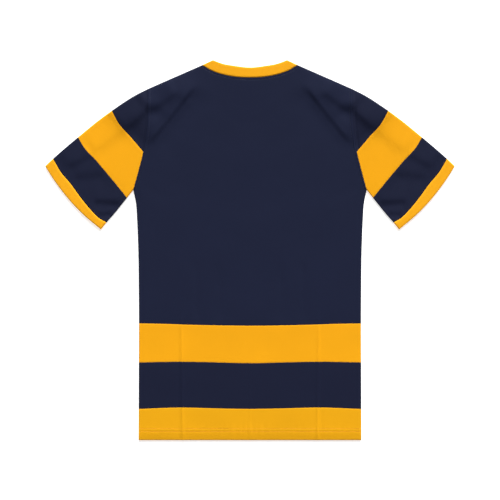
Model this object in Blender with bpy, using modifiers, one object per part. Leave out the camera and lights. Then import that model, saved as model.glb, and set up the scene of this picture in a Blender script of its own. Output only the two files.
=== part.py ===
"""Short sleeved sports jersey with set-in sleeves, hoops and a crew collar, laid flat on its
front, so that its back is seen.

All sizes are in metres. X runs across the jersey, Y from its hem to its collar and Z up from
the surface that it lies on. The origin lies on that surface, midway along both sides. The
jersey is the same on both sides of X = 0, so the tables below hold its right half.
"""

import math

import bmesh
import bpy
import numpy as np

# Cloth
KNIT = 0.0012
TURNED_HEM = 0.0015
RIB = 0.0018
SEAM_GAP = 0.0003
# Between the body's corner and the collar, where both fold over at the neck point
NECK_CLEARANCE = 0.0014
# More gap where the armhole's seam runs over the fold at the shoulder
FOLD_CLEARANCE = 0.0008
HEM_DEPTH = 0.025

# Height of the back layer's outer face above the surface, where nothing creases it
LAID_HEIGHT = 0.0044
RIB_HEIGHT = 0.0050
# Extra height in the middle of the body, and how far above the hem it is reached
LOFT = 0.0008
LOFT_LENGTH = 0.12

# Main sizes
HEM_Y = -0.380
ARMPIT = (0.2334, 0.1204)
SHOULDER = (0.2044, 0.3222)
NECK = (0.0954, 0.3702)
COLLAR_TIP = (0.0744, 0.3800)
SLEEVE_HOOP_JOIN = (0.2134, 0.1964)
COLLAR_DROP_BACK = 0.3450
RIM_DROP_BACK = 0.3650
COLLAR_DROP_FRONT = 0.2850
RIM_DROP_FRONT = 0.3050

# Outlines, each row an x and a y
SIDE_SEAM = (
    (0.2228, HEM_Y), (0.2223, -0.250), (0.2222, -0.100), (0.2240, 0.020),
    (0.2258, 0.062), (0.2282, 0.095), ARMPIT,
)
ARMHOLE = (ARMPIT, (0.2237, 0.1554), SLEEVE_HOOP_JOIN, (0.2060, 0.246), (0.2040, 0.285), SHOULDER)
BACK_NECK = ((0.0, COLLAR_DROP_BACK), (0.031, 0.3467), (0.063, 0.3537), (0.081, 0.3610), NECK)
BACK_RIM = ((0.0, RIM_DROP_BACK), (0.031, 0.3683), (0.055, 0.3728), (0.067, 0.3770), COLLAR_TIP)
FRONT_NECK = ((0.0, COLLAR_DROP_FRONT), (0.040, 0.2920), (0.070, 0.3155), (0.088, 0.3440), NECK)
FRONT_RIM = ((0.0, RIM_DROP_FRONT), (0.031, 0.3105), (0.054, 0.3275), (0.068, 0.3510), COLLAR_TIP)
SLEEVE_FOLD = (
    SHOULDER, (0.231, 0.3085), (0.267, 0.2853), (0.303, 0.2593), (0.339, 0.2299),
    (0.375, 0.1996), (0.3942, 0.1826), (0.4096, 0.1680),
)
UNDERARM_FOLD = (ARMPIT, (0.2534, 0.0952), (0.2728, 0.0712), (0.2870, 0.0552), (0.2980, 0.0412))
HOOP_START = (
    (0.2764, 0.2782), (0.2612, 0.2512), (0.2396, 0.2272), (0.2192, 0.2032), SLEEVE_HOOP_JOIN,
)
HOOP_END = (
    (0.3440, 0.2258), (0.3302, 0.2032), (0.3078, 0.1792), (0.2874, 0.1552), (0.2674, 0.1312),
    (0.2460, 0.1046),
)
CUFF_SEAM = (
    (0.3940, 0.1828), (0.3777, 0.1552), (0.3577, 0.1312), (0.3403, 0.1072), (0.3190, 0.0810),
    (0.3020, 0.0640), (0.2870, 0.0552),
)
CUFF_EDGE = (
    (0.4096, 0.1680), (0.3940, 0.1432), (0.3767, 0.1192), (0.3569, 0.0952), (0.3335, 0.0712),
    (0.2980, 0.0412),
)

# Lines of the body hoops from the middle to the side, each row an x and a y
UPPER_LINE = ((0.0, -0.1510), (0.111, -0.1494), (0.175, -0.1473), (0.2222, -0.1465))
MIDDLE_LINE = ((0.0, -0.2260), (0.079, -0.2242), (0.138, -0.2232), (0.2222, -0.2246))
LOWER_LINE = ((0.0, -0.3173), (0.079, -0.3159), (0.130, -0.3146), (0.2225, -0.3174))
HEM_LINE = ((0.0, HEM_Y), (0.111, HEM_Y), (0.2228, HEM_Y))

# Creases of the back layer: start x, start y, end x, end y, bow to the left of the way
# along, half width, rise at the middle (a trough where it is less than nothing)
CREASES = (
    (0.1166, 0.3202, 0.2012, 0.2158, -0.003, 0.015, -0.0013),
    (0.1050, 0.3060, 0.1880, 0.2050, -0.003, 0.017, 0.0008),
    (0.1456, 0.3160, 0.2456, 0.2500, 0.002, 0.017, -0.0014),
    (0.2100, 0.2760, 0.3530, 0.1710, -0.003, 0.017, -0.0015),
    (0.1700, 0.3180, 0.3500, 0.1930, 0.000, 0.020, 0.0011),
    (0.2940, 0.1486, 0.3466, 0.1452, 0.000, 0.014, -0.0012),
    (0.2634, 0.0960, 0.3034, 0.0930, 0.000, 0.013, -0.0009),
    (0.1370, -0.1300, 0.1340, -0.3900, 0.000, 0.016, -0.0013),
    (0.1580, -0.1500, 0.1560, -0.3800, 0.000, 0.018, 0.0006),
    (0.0000, -0.2300, 0.0000, -0.3900, 0.000, 0.017, -0.0010),
    (0.1055, -0.0200, 0.1070, -0.1500, 0.000, 0.018, -0.0008),
    (0.0620, -0.0300, 0.0620, -0.1450, 0.000, 0.018, -0.0007),
)

# Share of a crease's length in which each of its ends fades out
CREASE_END = 0.18

# Points that a smooth line is read at, and those across a sleeve
LINE_POINTS = 201
SLEEVE_POINTS = 321

# Cells of the sheets
NECK_CELLS = 8
SHOULDER_CELLS = 8
SIDE_CELL = 0.0150
RIB_CELLS = 3
# First row above the armpit, and the rows on either side of the turned hem's step
ABOVE_ARMPIT = 0.003
HEM_STEP = 0.001
# Share of the panel's width beside the neck point in which the shoulder closes, and how far
# from closed it is at that point, where the collar's fold fills it
CORNER_CELL = 0.02
CORNER_OPEN = 0.60
# The same for a side seam, at the armpit
ARMPIT_OPEN = 0.75
HEAD_CELLS = 8
ARMHOLE_LOW_CELLS = 5
SLEEVE_CELL = 0.0145
# Share of the way across at which the sleeve head's tip is cut off
TIP = 0.985

# Round edge at a fold, from its flat face to its middle: the angle of each column
ROLL_ANGLES = (0.0, 30.0, 60.0)
# The last two columns at a side seam stand upright, so that the two walls end face to face
SEAM_LIP = (0.25, SEAM_GAP / LAID_HEIGHT)
# Spacing of those columns where the edge isn't round
FLAT_STEPS = (0.0022, 0.0016, 0.0011, 0.0006, 0.0)

NAVY = "#22273D"
NAVY_DEEP = "#20253B"
GOLD = "#FAAE19"
GOLD_DEEP = "#F3AC1B"
GOLD_RIB = "#F4AF22"


def smooth(points, at):
    """Points along a smooth line through the given ones, at shares 0 to 1 of its length. Its
    slope at each given point is the mean of those beside it, and it leaves the jersey's middle
    level, so that it has no corner there."""
    points = np.array(points, dtype=float)
    run = np.concatenate(([0.0], np.cumsum(np.hypot(*np.diff(points, axis=0).T))))
    slope = np.gradient(points, run, axis=0)
    if points[0, 0] == 0.0:
        slope[0] = (1.0, 0.0)
    way = np.clip(at, 0.0, 1.0) * run[-1]
    first = np.clip(np.searchsorted(run, way, side="right") - 1, 0, len(points) - 2)
    step = (run[first + 1] - run[first])[:, None]
    t = (way[:, None] - run[first][:, None]) / step
    start, end = points[first], points[first + 1]
    pull = (slope[first] * (1.0 - t) - slope[first + 1] * t) * step
    chord = end - start
    ease = t * t * (3.0 - 2.0 * t)
    return start + chord * ease + pull * t * (1.0 - t)


def dense(points):
    """A smooth line as many points."""
    return smooth(points, np.linspace(0.0, 1.0, LINE_POINTS))


def height_on(points, x):
    """y of the smooth line at each x, with its last slopes beyond its ends."""
    line = dense(points)
    line = line[np.argsort(line[:, 0])]
    y = np.interp(x, line[:, 0], line[:, 1])
    for end, inner in ((0, 4), (-1, -5)):
        slope = (line[end, 1] - line[inner, 1]) / (line[end, 0] - line[inner, 0])
        beyond = (x - line[end, 0]) * (-1.0 if end == 0 else 1.0) > 0.0
        y = np.where(beyond, line[end, 1] + slope * (x - line[end, 0]), y)
    return y


def moved_left(line, distance):
    """A line of points moved by a distance to the left of the way along it."""
    way = np.gradient(line, axis=0)
    way /= np.hypot(way[:, 0], way[:, 1])[:, None]
    return line + np.stack((-way[:, 1], way[:, 0]), axis=1) * distance


def read(line, at):
    """Points of a dense line at shares 0 to 1 of its length."""
    run = np.concatenate(([0.0], np.cumsum(np.hypot(*np.diff(line, axis=0).T))))
    way = np.clip(at, 0.0, 1.0) * run[-1]
    return np.stack([np.interp(way, run, line[:, k]) for k in (0, 1)], axis=-1)


def top_height(x, y, laid):
    """Height of the back layer: the laid height, a low loft in the middle of the body, and
    the creases, which fade out at their ends."""
    across = np.abs(x)
    body = np.clip(1.0 - (across / SHOULDER[0]) ** 2, 0.0, 1.0)
    rise = laid + LOFT * body * np.clip((y - HEM_Y) / LOFT_LENGTH, 0.0, 1.0)
    for x0, y0, x1, y1, bow, half_width, lift in CREASES:
        length = math.hypot(x1 - x0, y1 - y0)
        way_x, way_y = (x1 - x0) / length, (y1 - y0) / length
        along = ((across - x0) * way_x + (y - y0) * way_y) / length
        aside = (y - y0) * way_x - (across - x0) * way_y
        aside = aside - bow * 4.0 * along * (1.0 - along)
        fade = np.clip(along / CREASE_END, 0.0, 1.0)
        fade = fade * np.clip((1.0 - along) / CREASE_END, 0.0, 1.0)
        wave = 0.5 + 0.5 * np.cos(np.pi * np.clip(aside / half_width, -1.0, 1.0))
        rise = rise + lift * wave * fade * (2.0 - fade)
    return rise


def roll_table(lip):
    """Columns from an edge's flat face to its middle: inset as a share of the edge's radius,
    and height above the middle as a share of the full height."""
    rows = [(1.0 - math.sin(math.radians(a)), math.cos(math.radians(a))) for a in ROLL_ANGLES]
    if lip:
        rows += [(0.0, share) for share in SEAM_LIP]
    else:
        rows.append((0.0, 0.0))
    return np.array(rows)


def material(name, colour, roughness):
    """Cloth of one colour, given as sRGB hex."""
    made = bpy.data.materials.new(name)
    made.use_nodes = True
    shader = made.node_tree.nodes["Principled BSDF"]
    channels = [int(colour[k:k + 2], 16) / 255.0 for k in (1, 3, 5)]
    linear = [c / 12.92 if c <= 0.04045 else ((c + 0.055) / 1.055) ** 2.4 for c in channels]
    shader.inputs["Base Color"].default_value = (*linear, 1.0)
    shader.inputs["Roughness"].default_value = roughness
    shader.inputs["Metallic"].default_value = 0.0
    return made


def sheet(name, points, faces_up, wall, colour, closed=False, mirrored=False, side=1.0):
    """One piece of cloth: a grid whose corners move to the points of its outer face, with its
    wall added inwards. A closed sheet is welded into a ring along its first index. A mirrored
    one is the right half of its piece. Side -1 makes the left copy."""
    columns, rows = points.shape[0] - 1, points.shape[1] - 1
    grid = bmesh.new()
    bmesh.ops.create_grid(grid, x_segments=columns, y_segments=rows, size=0.5)
    for corner in grid.verts:
        i = round((corner.co.x + 0.5) * columns)
        j = round((corner.co.y + 0.5) * rows)
        corner.co = points[i, j] * (side, 1.0, 1.0)
    if closed:
        bmesh.ops.remove_doubles(grid, verts=grid.verts, dist=0.00001)
    if faces_up != (side > 0.0):
        bmesh.ops.reverse_faces(grid, faces=grid.faces)
    mesh = bpy.data.meshes.new(name)
    grid.to_mesh(mesh)
    grid.free()
    mesh.shade_smooth()
    piece = bpy.data.objects.new(name, mesh)
    jersey.objects.link(piece)
    mesh.materials.append(material(name + " cloth", colour, 0.85))
    if mirrored:
        mirror = piece.modifiers.new("other side", "MIRROR")
        mirror.merge_threshold = 0.0001
    solidify = piece.modifiers.new("wall", "SOLIDIFY")
    solidify.thickness = wall
    solidify.offset = -1.0
    solidify.use_even_offset = True
    return piece


def patch(bottom, top, left, right, u, v):
    """Points inside four lines that share their corners: the mean of the bottom and top lines
    by v and of the left and right lines by u, less the corners, which both hold."""
    corners = (
        bottom[0] * (1 - u) * (1 - v) + bottom[-1] * u * (1 - v)
        + top[0] * (1 - u) * v + top[-1] * u * v
    )
    return bottom * (1 - v) + top * v + left * (1 - u) + right * u - corners


def body_columns():
    """Columns of a body panel's right half, as shares of the way from its middle."""
    neck_share = NECK[0] / SHOULDER[0]
    inner = np.linspace(0.0, neck_share, NECK_CELLS + 1)
    outer = np.linspace(neck_share + CORNER_CELL, 1.0, SHOULDER_CELLS)[:-1]
    return np.concatenate((inner, outer, np.ones(len(ROLL_ANGLES) + len(SEAM_LIP))))


def edge_line(points, u):
    """A hoop's line at the columns, read by x."""
    x = u * points[-1][0]
    return np.stack((x, height_on(points, x)), axis=-1)


def body_panel(name, bottom, top, side_y, back, colour, wall=KNIT, neck=None):
    """A panel from side to side. Its rows follow side_y on the side line, and its bottom and
    top are lines from the middle to the side. A neck line makes its top the neck and the
    shoulder. Its sides and shoulders roll round to the panel below or above it."""
    u = body_columns()
    roll = roll_table(lip=True)
    rolled = len(roll)
    half_gap = SEAM_GAP / 2.0
    side_inset = np.zeros(len(u))
    flat_inset = np.zeros(len(u))
    share_up = np.ones(len(u))
    side_inset[-rolled:] = roll[:, 0] * LAID_HEIGHT / 2.0
    flat_inset[-rolled:] = FLAT_STEPS
    share_up[-rolled:] = roll[:, 1]

    bottom_line = edge_line(bottom, u) + (0.0, half_gap if bottom is not HEM_LINE else 0.0)
    v = (side_y - side_y[0]) / (side_y[-1] - side_y[0])
    if neck is None:
        top_line = edge_line(top, u) - (0.0, half_gap)
        drop = np.zeros((len(u), len(v)))
        row_up = np.ones((len(u), len(v)))
    else:
        on_neck = np.linspace(0.0, 1.0, NECK_CELLS + 1)
        neck_line = read(moved_left(dense(neck), -half_gap), on_neck)
        neck_line[0, 0] = 0.0
        along_shoulder = np.array(SHOULDER) - np.array(NECK)
        neck_line[-1] = NECK + along_shoulder * (NECK_CLEARANCE / np.hypot(*along_shoulder))
        beyond = (u[NECK_CELLS + 1:] - u[NECK_CELLS]) / (1.0 - u[NECK_CELLS])
        shoulder = np.array(NECK) + beyond[:, None] * along_shoulder
        top_line = np.concatenate((neck_line, shoulder))
        on_shoulder = np.arange(len(u)) >= NECK_CELLS
        slant = np.hypot(*along_shoulder) / along_shoulder[0]
        v = np.concatenate((v[:-1], np.ones(rolled)))
        drop = np.zeros((len(u), len(v)))
        row_up = np.ones((len(u), len(v)))
        drop[:, -rolled:] = np.where(
            on_shoulder[:, None], roll[:, 0] * LAID_HEIGHT / 2.0 * slant, np.array(FLAT_STEPS)
        )
        row_up[:, -rolled:] = np.where(on_shoulder[:, None], roll[:, 1], 1.0)
        row_up[NECK_CELLS] += CORNER_OPEN * (1.0 - row_up[NECK_CELLS])

    side_at = side_y[0] + v * (side_y[-1] - side_y[0])
    on_side = side_at <= ARMPIT[1] + 1e-6
    full_side = np.concatenate((dense(SIDE_SEAM), dense(ARMHOLE)[1:]))
    side_x = np.interp(side_at, full_side[:, 1], full_side[:, 0])
    side_x = np.where(on_side, side_x, side_x - half_gap)
    side_line = np.stack((side_x, side_at), axis=-1)
    middle_y = bottom_line[0, 1] + v * (top_line[0, 1] - bottom_line[0, 1])
    middle_line = np.stack((np.zeros(len(v)), middle_y), axis=-1)

    side_line[0] = bottom_line[-1] = (side_x[0], bottom_line[-1, 1])
    side_line[-1] = (side_x[-1], top_line[-1, 1])
    top_line[:, 0] *= side_x[-1] / top_line[-1, 0]
    bottom_line[:, 0] *= side_x[0] / bottom_line[-1, 0]
    flat = patch(
        bottom_line[:, None], top_line[:, None], middle_line[None, :], side_line[None, :],
        u[:, None, None], v[None, :, None],
    )
    inset = np.where(on_side[None, :], side_inset[:, None], flat_inset[:, None])
    x = flat[..., 0] - inset
    y = flat[..., 1] - drop
    side_up = np.where(on_side[None, :], share_up[:, None], 1.0)
    at_armpit = np.abs(side_at - ARMPIT[1]) < 1e-6
    side_up[:, at_armpit] += ARMPIT_OPEN * (1.0 - side_up[:, at_armpit])
    up = side_up * row_up
    middle = LAID_HEIGHT / 2.0
    if back:
        z = middle + (top_height(x, y, LAID_HEIGHT) - middle) * up
    else:
        z = middle * (1.0 - up)
    piece = sheet(name, np.stack((x, y, z), axis=-1), back, wall, colour, mirrored=True)
    if wall != KNIT:
        thin_above_hem(piece)
    return piece


def thin_above_hem(piece):
    """The turned hem is two layers deep, and the wall above it is one."""
    hem = piece.vertex_groups.new(name="turned hem")
    low = [c.index for c in piece.data.vertices if c.co.y < HEM_Y + HEM_DEPTH]
    hem.add(low, 1.0, "REPLACE")
    wall = piece.modifiers["wall"]
    wall.vertex_group = hem.name
    wall.thickness_vertex_group = KNIT / TURNED_HEM


def even_steps(start, end, cell):
    """Values from start to end, about a cell apart."""
    return np.linspace(start, end, max(2, round(abs(end - start) / cell)) + 1)


def body():
    """Back and front, each with its three hoops."""
    bodice_rows = np.concatenate((
        even_steps(UPPER_LINE[-1][1] + SEAM_GAP / 2.0, ARMPIT[1], SIDE_CELL),
        even_steps(ARMPIT[1] + ABOVE_ARMPIT, SHOULDER[1], SIDE_CELL),
    ))
    hem_rows = np.concatenate((
        even_steps(HEM_Y, HEM_Y + HEM_DEPTH - HEM_STEP, SIDE_CELL),
        even_steps(HEM_Y + HEM_DEPTH + HEM_STEP, LOWER_LINE[-1][1], SIDE_CELL),
    ))
    for face, neck in (("back", BACK_NECK), ("front", FRONT_NECK)):
        back = face == "back"
        body_panel(face + "_body", UPPER_LINE, None, bodice_rows, back, NAVY, neck=neck)
        for hoop, low, high, colour in (
            ("upper", MIDDLE_LINE, UPPER_LINE, GOLD),
            ("middle", LOWER_LINE, MIDDLE_LINE, NAVY_DEEP),
        ):
            rows = even_steps(low[-1][1], high[-1][1], SIDE_CELL)
            body_panel(face + "_hoop_" + hoop, low, high, rows, back, colour)
        body_panel(
            face + "_hoop_hem", HEM_LINE, LOWER_LINE, hem_rows, back, GOLD_DEEP, TURNED_HEM,
        )


def line_length(line):
    """Length of a line of points."""
    return np.hypot(*np.diff(line, axis=0).T).sum()


def joined(first, second):
    """Two dense lines that share an end, as one."""
    return np.concatenate((first, second[1:]))


def between(line, start, end):
    """The stretch of a dense line between two of its points."""
    from_start = np.hypot(*(line - start).T).argmin()
    from_end = np.hypot(*(line - end).T).argmin()
    return line[from_start:from_end + 1]


def sleeve_stations(inner, outer, cells, w, tip):
    """Lines across the sleeve from its fold to the underarm, between two given ones. Their
    ends are moved on to the fold and, unless the piece ends in a tip, the underarm edge."""
    a = np.linspace(0.0, 1.0, cells + 1)[:, None, None]
    lines = read(inner, w)[None] * (1 - a) + read(outer, w)[None] * a
    top, low = lines[:, 0, :], lines[:, -1, :]
    rise = (height_on(SLEEVE_FOLD, top[:, 0]) - top[:, 1])[:, None]
    lines[..., 1] += rise * (1 - w)
    if not tip:
        sink = (height_on(UNDERARM_FOLD, low[:, 0]) - low[:, 1])[:, None]
        lines[..., 1] += sink * w
    return lines


def distance_to(edge, line):
    """How far each point of a line lies from an edge that is given as x and y rows."""
    slope = np.gradient(height_on(edge, line[:, 0]), line[:, 0])
    return np.abs(height_on(edge, line[:, 0]) - line[:, 1]) / np.hypot(1.0, slope)


def across_sleeve(line, w, radius, spread, tip):
    """Shares of the way across a station at which its columns lie: the round edge at the
    fold, those of the spread, and the round edge at the underarm. A tip has no underarm."""
    roll = roll_table(lip=False)[:, 0] * radius
    from_fold = np.maximum.accumulate(distance_to(SLEEVE_FOLD, line))
    near_fold = np.interp(roll[::-1], from_fold, w)
    if tip:
        return np.concatenate((near_fold[:-1], near_fold[-1] + (TIP - near_fold[-1]) * spread))
    from_low = np.maximum.accumulate(distance_to(UNDERARM_FOLD, line)[::-1])
    near_low = np.interp(roll, from_low, w[::-1])
    even = near_fold[-1] + (near_low[0] - near_fold[-1]) * spread
    return np.concatenate((near_fold[:-1], even, near_low[1:]))


def read_share(line, w, share):
    """Points of a station at shares of the way across it."""
    return np.stack([np.interp(share, w, line[:, k]) for k in (0, 1)], axis=-1)


def sleeve_piece(name, inner, outer, spread, wall, colour, laid, side, tip=False):
    """A piece of the sleeve between two lines across it: a flat ring, or where it ends in a
    tip a sheet folded over the sleeve's upper edge."""
    w = np.linspace(0.0, 1.0, SLEEVE_POINTS)
    middle = laid / 2.0
    length = np.hypot(*(outer - inner[:1]).T).min()
    cells = max(2, round(length / SLEEVE_CELL))
    lines = sleeve_stations(inner, outer, cells, w, tip)
    shares = np.array([across_sleeve(line, w, middle, spread, tip) for line in lines])
    flat = np.array([read_share(line, w, share) for line, share in zip(lines, shares)])
    roll_up = roll_table(lip=False)[:, 1]
    up = np.ones(shares.shape[1])
    up[:len(roll_up)] = roll_up[::-1]
    if not tip:
        up[-len(roll_up):] = roll_up
    x, y = flat[..., 0], flat[..., 1]
    if tip:
        x[0] += FOLD_CLEARANCE * (1.0 - up)
    upper = middle + (top_height(x, y, laid) - middle) * up
    lower = middle * (1.0 - up) + np.zeros_like(x)
    over = np.stack((x, y, upper), axis=-1)
    under = np.stack((x, y, lower), axis=-1)
    points = np.concatenate((over[:, ::-1], under[:, 1:]), axis=1).transpose(1, 0, 2)
    return sheet(name, points, False, wall, colour, closed=not tip, side=side)


def sleeves():
    """Head, hoop, lower piece and cuff of each sleeve."""
    half_gap = SEAM_GAP / 2.0
    armhole = dense(ARMHOLE)[::-1]
    join = np.array(SLEEVE_HOOP_JOIN)
    armhole_high = between(armhole, np.array(SHOULDER), join)
    armhole_low = between(armhole, join, np.array(ARMPIT))
    start, end = dense(HOOP_START), dense(HOOP_END)
    seam, edge = dense(CUFF_SEAM), dense(CUFF_EDGE)
    hoop_start = joined(start, armhole_low)
    head_share = line_length(start) / line_length(hoop_start)
    head_spread = np.linspace(0.0, 1.0, HEAD_CELLS + 1)
    low_spread = np.linspace(head_share, 1.0, ARMHOLE_LOW_CELLS + 1)
    spread = np.concatenate((head_spread[:-1] * head_share, low_spread))
    for word, side in (("right", 1.0), ("left", -1.0)):
        sleeve_piece(
            "sleeve_head_" + word, moved_left(armhole_high, half_gap),
            moved_left(start, -half_gap), head_spread, KNIT, NAVY, LAID_HEIGHT, side, tip=True,
        )
        sleeve_piece(
            "sleeve_hoop_" + word, moved_left(hoop_start, half_gap),
            moved_left(end, -half_gap), spread, KNIT, GOLD, LAID_HEIGHT, side,
        )
        sleeve_piece(
            "sleeve_lower_" + word, moved_left(end, half_gap), moved_left(seam, -half_gap),
            spread, KNIT, NAVY, LAID_HEIGHT, side,
        )
        sleeve_piece(
            "cuff_" + word, moved_left(seam, half_gap), edge, spread, RIB, GOLD_RIB,
            RIB_HEIGHT, side,
        )


def collar():
    """A ring of rib round the neck: the back of it lies on the front of it, and it folds over
    at the shoulders. Its seam follows the body's neck lines."""
    middle = RIB_HEIGHT / 2.0
    half_gap = SEAM_GAP / 2.0
    on_neck = np.linspace(0.0, 1.0, NECK_CELLS + 1)
    roll = roll_table(lip=False)
    layers = []
    for neck, rim, back in ((BACK_NECK, BACK_RIM, True), (FRONT_NECK, FRONT_RIM, False)):
        seam = moved_left(dense(neck), half_gap)
        rim_line = dense(rim)
        length = line_length(seam)
        shares = np.concatenate((on_neck[:-1], 1.0 - roll[:, 0] * middle / length))
        up = np.concatenate((np.ones(NECK_CELLS), roll[:, 1]))
        outer, inner = read(seam, shares), read(rim_line, shares)
        outer[0, 0] = inner[0, 0] = 0.0
        across = np.linspace(0.0, 1.0, RIB_CELLS + 1)[None, :, None]
        flat = outer[:, None] * (1 - across) + inner[:, None] * across
        x, y = flat[..., 0], flat[..., 1]
        if back:
            z = middle + (top_height(x, y, RIB_HEIGHT) - middle) * up[:, None]
        else:
            z = middle * (1.0 - up[:, None]) + np.zeros_like(x)
        layers.append(np.stack((x, y, z), axis=-1))
    points = np.concatenate((layers[0], layers[1][::-1][1:]), axis=0)
    return sheet("collar", points, True, RIB, GOLD_RIB, mirrored=True)


def empty_scene():
    """Takes out whatever the scene starts with."""
    for thing in list(bpy.data.objects):
        bpy.data.objects.remove(thing, do_unlink=True)


empty_scene()
jersey = bpy.data.collections.new("sports_jersey")
bpy.context.scene.collection.children.link(jersey)
body()
sleeves()
collar()
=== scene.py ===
"""Looks of a short sleeved sports jersey that lies flat on its front, back upwards.

Each sewn piece is one thin shell of knit on the form of its solid: the laid height, the round
edges at the folds, and on top of them creases, turned hem, seam grooves and puckers. All sizes
are in metres, and colours are sRGB. The tables hold the right half: the left half mirrors it.
"""

import math

import bpy
import numpy as np
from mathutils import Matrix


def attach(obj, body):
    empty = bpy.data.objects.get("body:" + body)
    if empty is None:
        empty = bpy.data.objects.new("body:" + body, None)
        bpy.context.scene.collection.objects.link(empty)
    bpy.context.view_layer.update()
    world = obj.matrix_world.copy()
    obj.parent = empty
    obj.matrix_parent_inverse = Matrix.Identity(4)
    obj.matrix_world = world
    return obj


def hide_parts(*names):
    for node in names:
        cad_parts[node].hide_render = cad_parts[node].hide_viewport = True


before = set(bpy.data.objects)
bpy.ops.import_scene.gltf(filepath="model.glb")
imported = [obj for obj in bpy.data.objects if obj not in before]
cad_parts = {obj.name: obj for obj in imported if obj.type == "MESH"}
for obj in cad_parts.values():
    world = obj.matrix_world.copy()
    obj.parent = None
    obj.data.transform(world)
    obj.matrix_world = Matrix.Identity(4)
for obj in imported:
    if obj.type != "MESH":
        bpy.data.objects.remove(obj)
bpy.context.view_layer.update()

# Cloth walls, the gap at a seam, the heights at which the back layer lies, and the loft of its
# middle, which it reaches this far above the hem
KNIT = 0.0008
RIB = 0.0014
SEAM_GAP = 0.00006
LAID = 0.0044
RIB_LAID = 0.0050
LOFT = 0.0008
LOFT_LENGTH = 0.12
COLLAR_WIDTH = 0.0200

# Turned hem and rows of stitches, measured from the edge or the seam
HEM_DEPTH = 0.025
HEM_STEP = 0.00022
HEM_FALL = 0.0012
HEM_ROWS = (0.0175, 0.0235)
ARMHOLE_ROW = 0.0050
NECK_ROW = 0.0045
CUFF_ROW = 0.0030
# How far the collar's edge is tucked in under the edge of the panels
COLLAR_TUCK = 0.0003
# Depths and width of the grooves that those rows lie in
HEM_GROOVE = 0.00030
ARMHOLE_GROOVE = 0.00012
NECK_GROOVE = 0.00035
CUFF_GROOVE = 0.00035
HEM_GROOVE_WIDTH = 0.0009
ARMHOLE_GROOVE_WIDTH = 0.0011
ROW_GROOVE_WIDTH = 0.0008
STITCH_PITCH = 0.0034
STITCH_LENGTH = 0.0027
THREAD = 0.00055

# How far faces sink, each a depth and a width: where two panels join, at the neck, at the
# armhole and at the hem's edge, at the ends of a sleeve piece, and at the collar's edges
PANEL_SINK = (0.00022, 0.0008)
NECK_SINK = (0.0006, 0.0011)
ARMHOLE_SINK = (0.0003, 0.0009)
HEM_EDGE_SINK = (0.0006, 0.0007)
SLEEVE_SINK_WIDTH = 0.0009
COLLAR_SEAM_SINK = (0.0009, 0.0010)
COLLAR_TUCK_SINK = (0.0012, 0.0005)
COLLAR_RIM_SINK = (0.0009, 0.0009)
# The seam allowance lifts the body between the armhole and its row, and the sleeve's head lies
# in a wide hollow on the other side: distance from the armhole, height and width
ALLOWANCE_RIDGE = (0.0022, 0.00070, 0.0022)
HEAD_HOLLOW = (0.0055, 0.0011, 0.0040)
# The front's outer face sinks by this share of the back's
FRONT_SHARE = 0.4

# Main points of the outline, which is the same on both sides of x = 0
HEM_Y = -0.380
ARMPIT = (0.2334, 0.1204)
SHOULDER = (0.2044, 0.3222)
NECK = (0.0954, 0.3702)
COLLAR_TIP = (0.0744, 0.3800)
HOOP_JOIN = (0.2134, 0.1964)

# Outlines, each row an x and a y
SIDE_SEAM = (
    (0.2228, HEM_Y), (0.2223, -0.250), (0.2222, -0.100), (0.2240, 0.020),
    (0.2258, 0.062), (0.2282, 0.095), ARMPIT,
)
ARMHOLE = (ARMPIT, (0.2237, 0.1554), HOOP_JOIN, (0.2060, 0.246), (0.2040, 0.285), SHOULDER)
BACK_NECK = ((0.0, 0.3450), (0.031, 0.3467), (0.063, 0.3537), (0.081, 0.3610), NECK)
BACK_RIM = ((0.0, 0.3650), (0.031, 0.3683), (0.055, 0.3728), (0.067, 0.3770), COLLAR_TIP)
FRONT_NECK = ((0.0, 0.2850), (0.040, 0.2920), (0.070, 0.3155), (0.088, 0.3440), NECK)
FRONT_RIM = ((0.0, 0.3050), (0.031, 0.3105), (0.054, 0.3275), (0.068, 0.3510), COLLAR_TIP)
SLEEVE_FOLD = (
    SHOULDER, (0.231, 0.3085), (0.267, 0.2853), (0.303, 0.2593), (0.339, 0.2299),
    (0.375, 0.1996), (0.3942, 0.1826), (0.4096, 0.1680),
)
UNDERARM_FOLD = (ARMPIT, (0.2534, 0.0952), (0.2728, 0.0712), (0.2870, 0.0552), (0.2980, 0.0412))
HOOP_START = ((0.2764, 0.2782), (0.2612, 0.2512), (0.2396, 0.2272), (0.2192, 0.2032), HOOP_JOIN)
HOOP_END = (
    (0.3440, 0.2258), (0.3302, 0.2032), (0.3078, 0.1792), (0.2874, 0.1552), (0.2674, 0.1312),
    (0.2460, 0.1046),
)
CUFF_SEAM = (
    (0.3940, 0.1828), (0.3777, 0.1552), (0.3577, 0.1312), (0.3403, 0.1072), (0.3190, 0.0810),
    (0.3020, 0.0640), (0.2870, 0.0552),
)
CUFF_EDGE = (
    (0.4096, 0.1680), (0.3940, 0.1432), (0.3767, 0.1192), (0.3569, 0.0952), (0.3335, 0.0712),
    (0.2980, 0.0412),
)
UPPER_LINE = ((0.0, -0.1510), (0.111, -0.1494), (0.175, -0.1473), (0.2222, -0.1465))
MIDDLE_LINE = ((0.0, -0.2260), (0.079, -0.2242), (0.138, -0.2232), (0.2222, -0.2246))
LOWER_LINE = ((0.0, -0.3173), (0.079, -0.3159), (0.130, -0.3146), (0.2225, -0.3174))
HEM_LINE = ((0.0, HEM_Y), (0.111, HEM_Y), (0.2228, HEM_Y))

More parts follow.
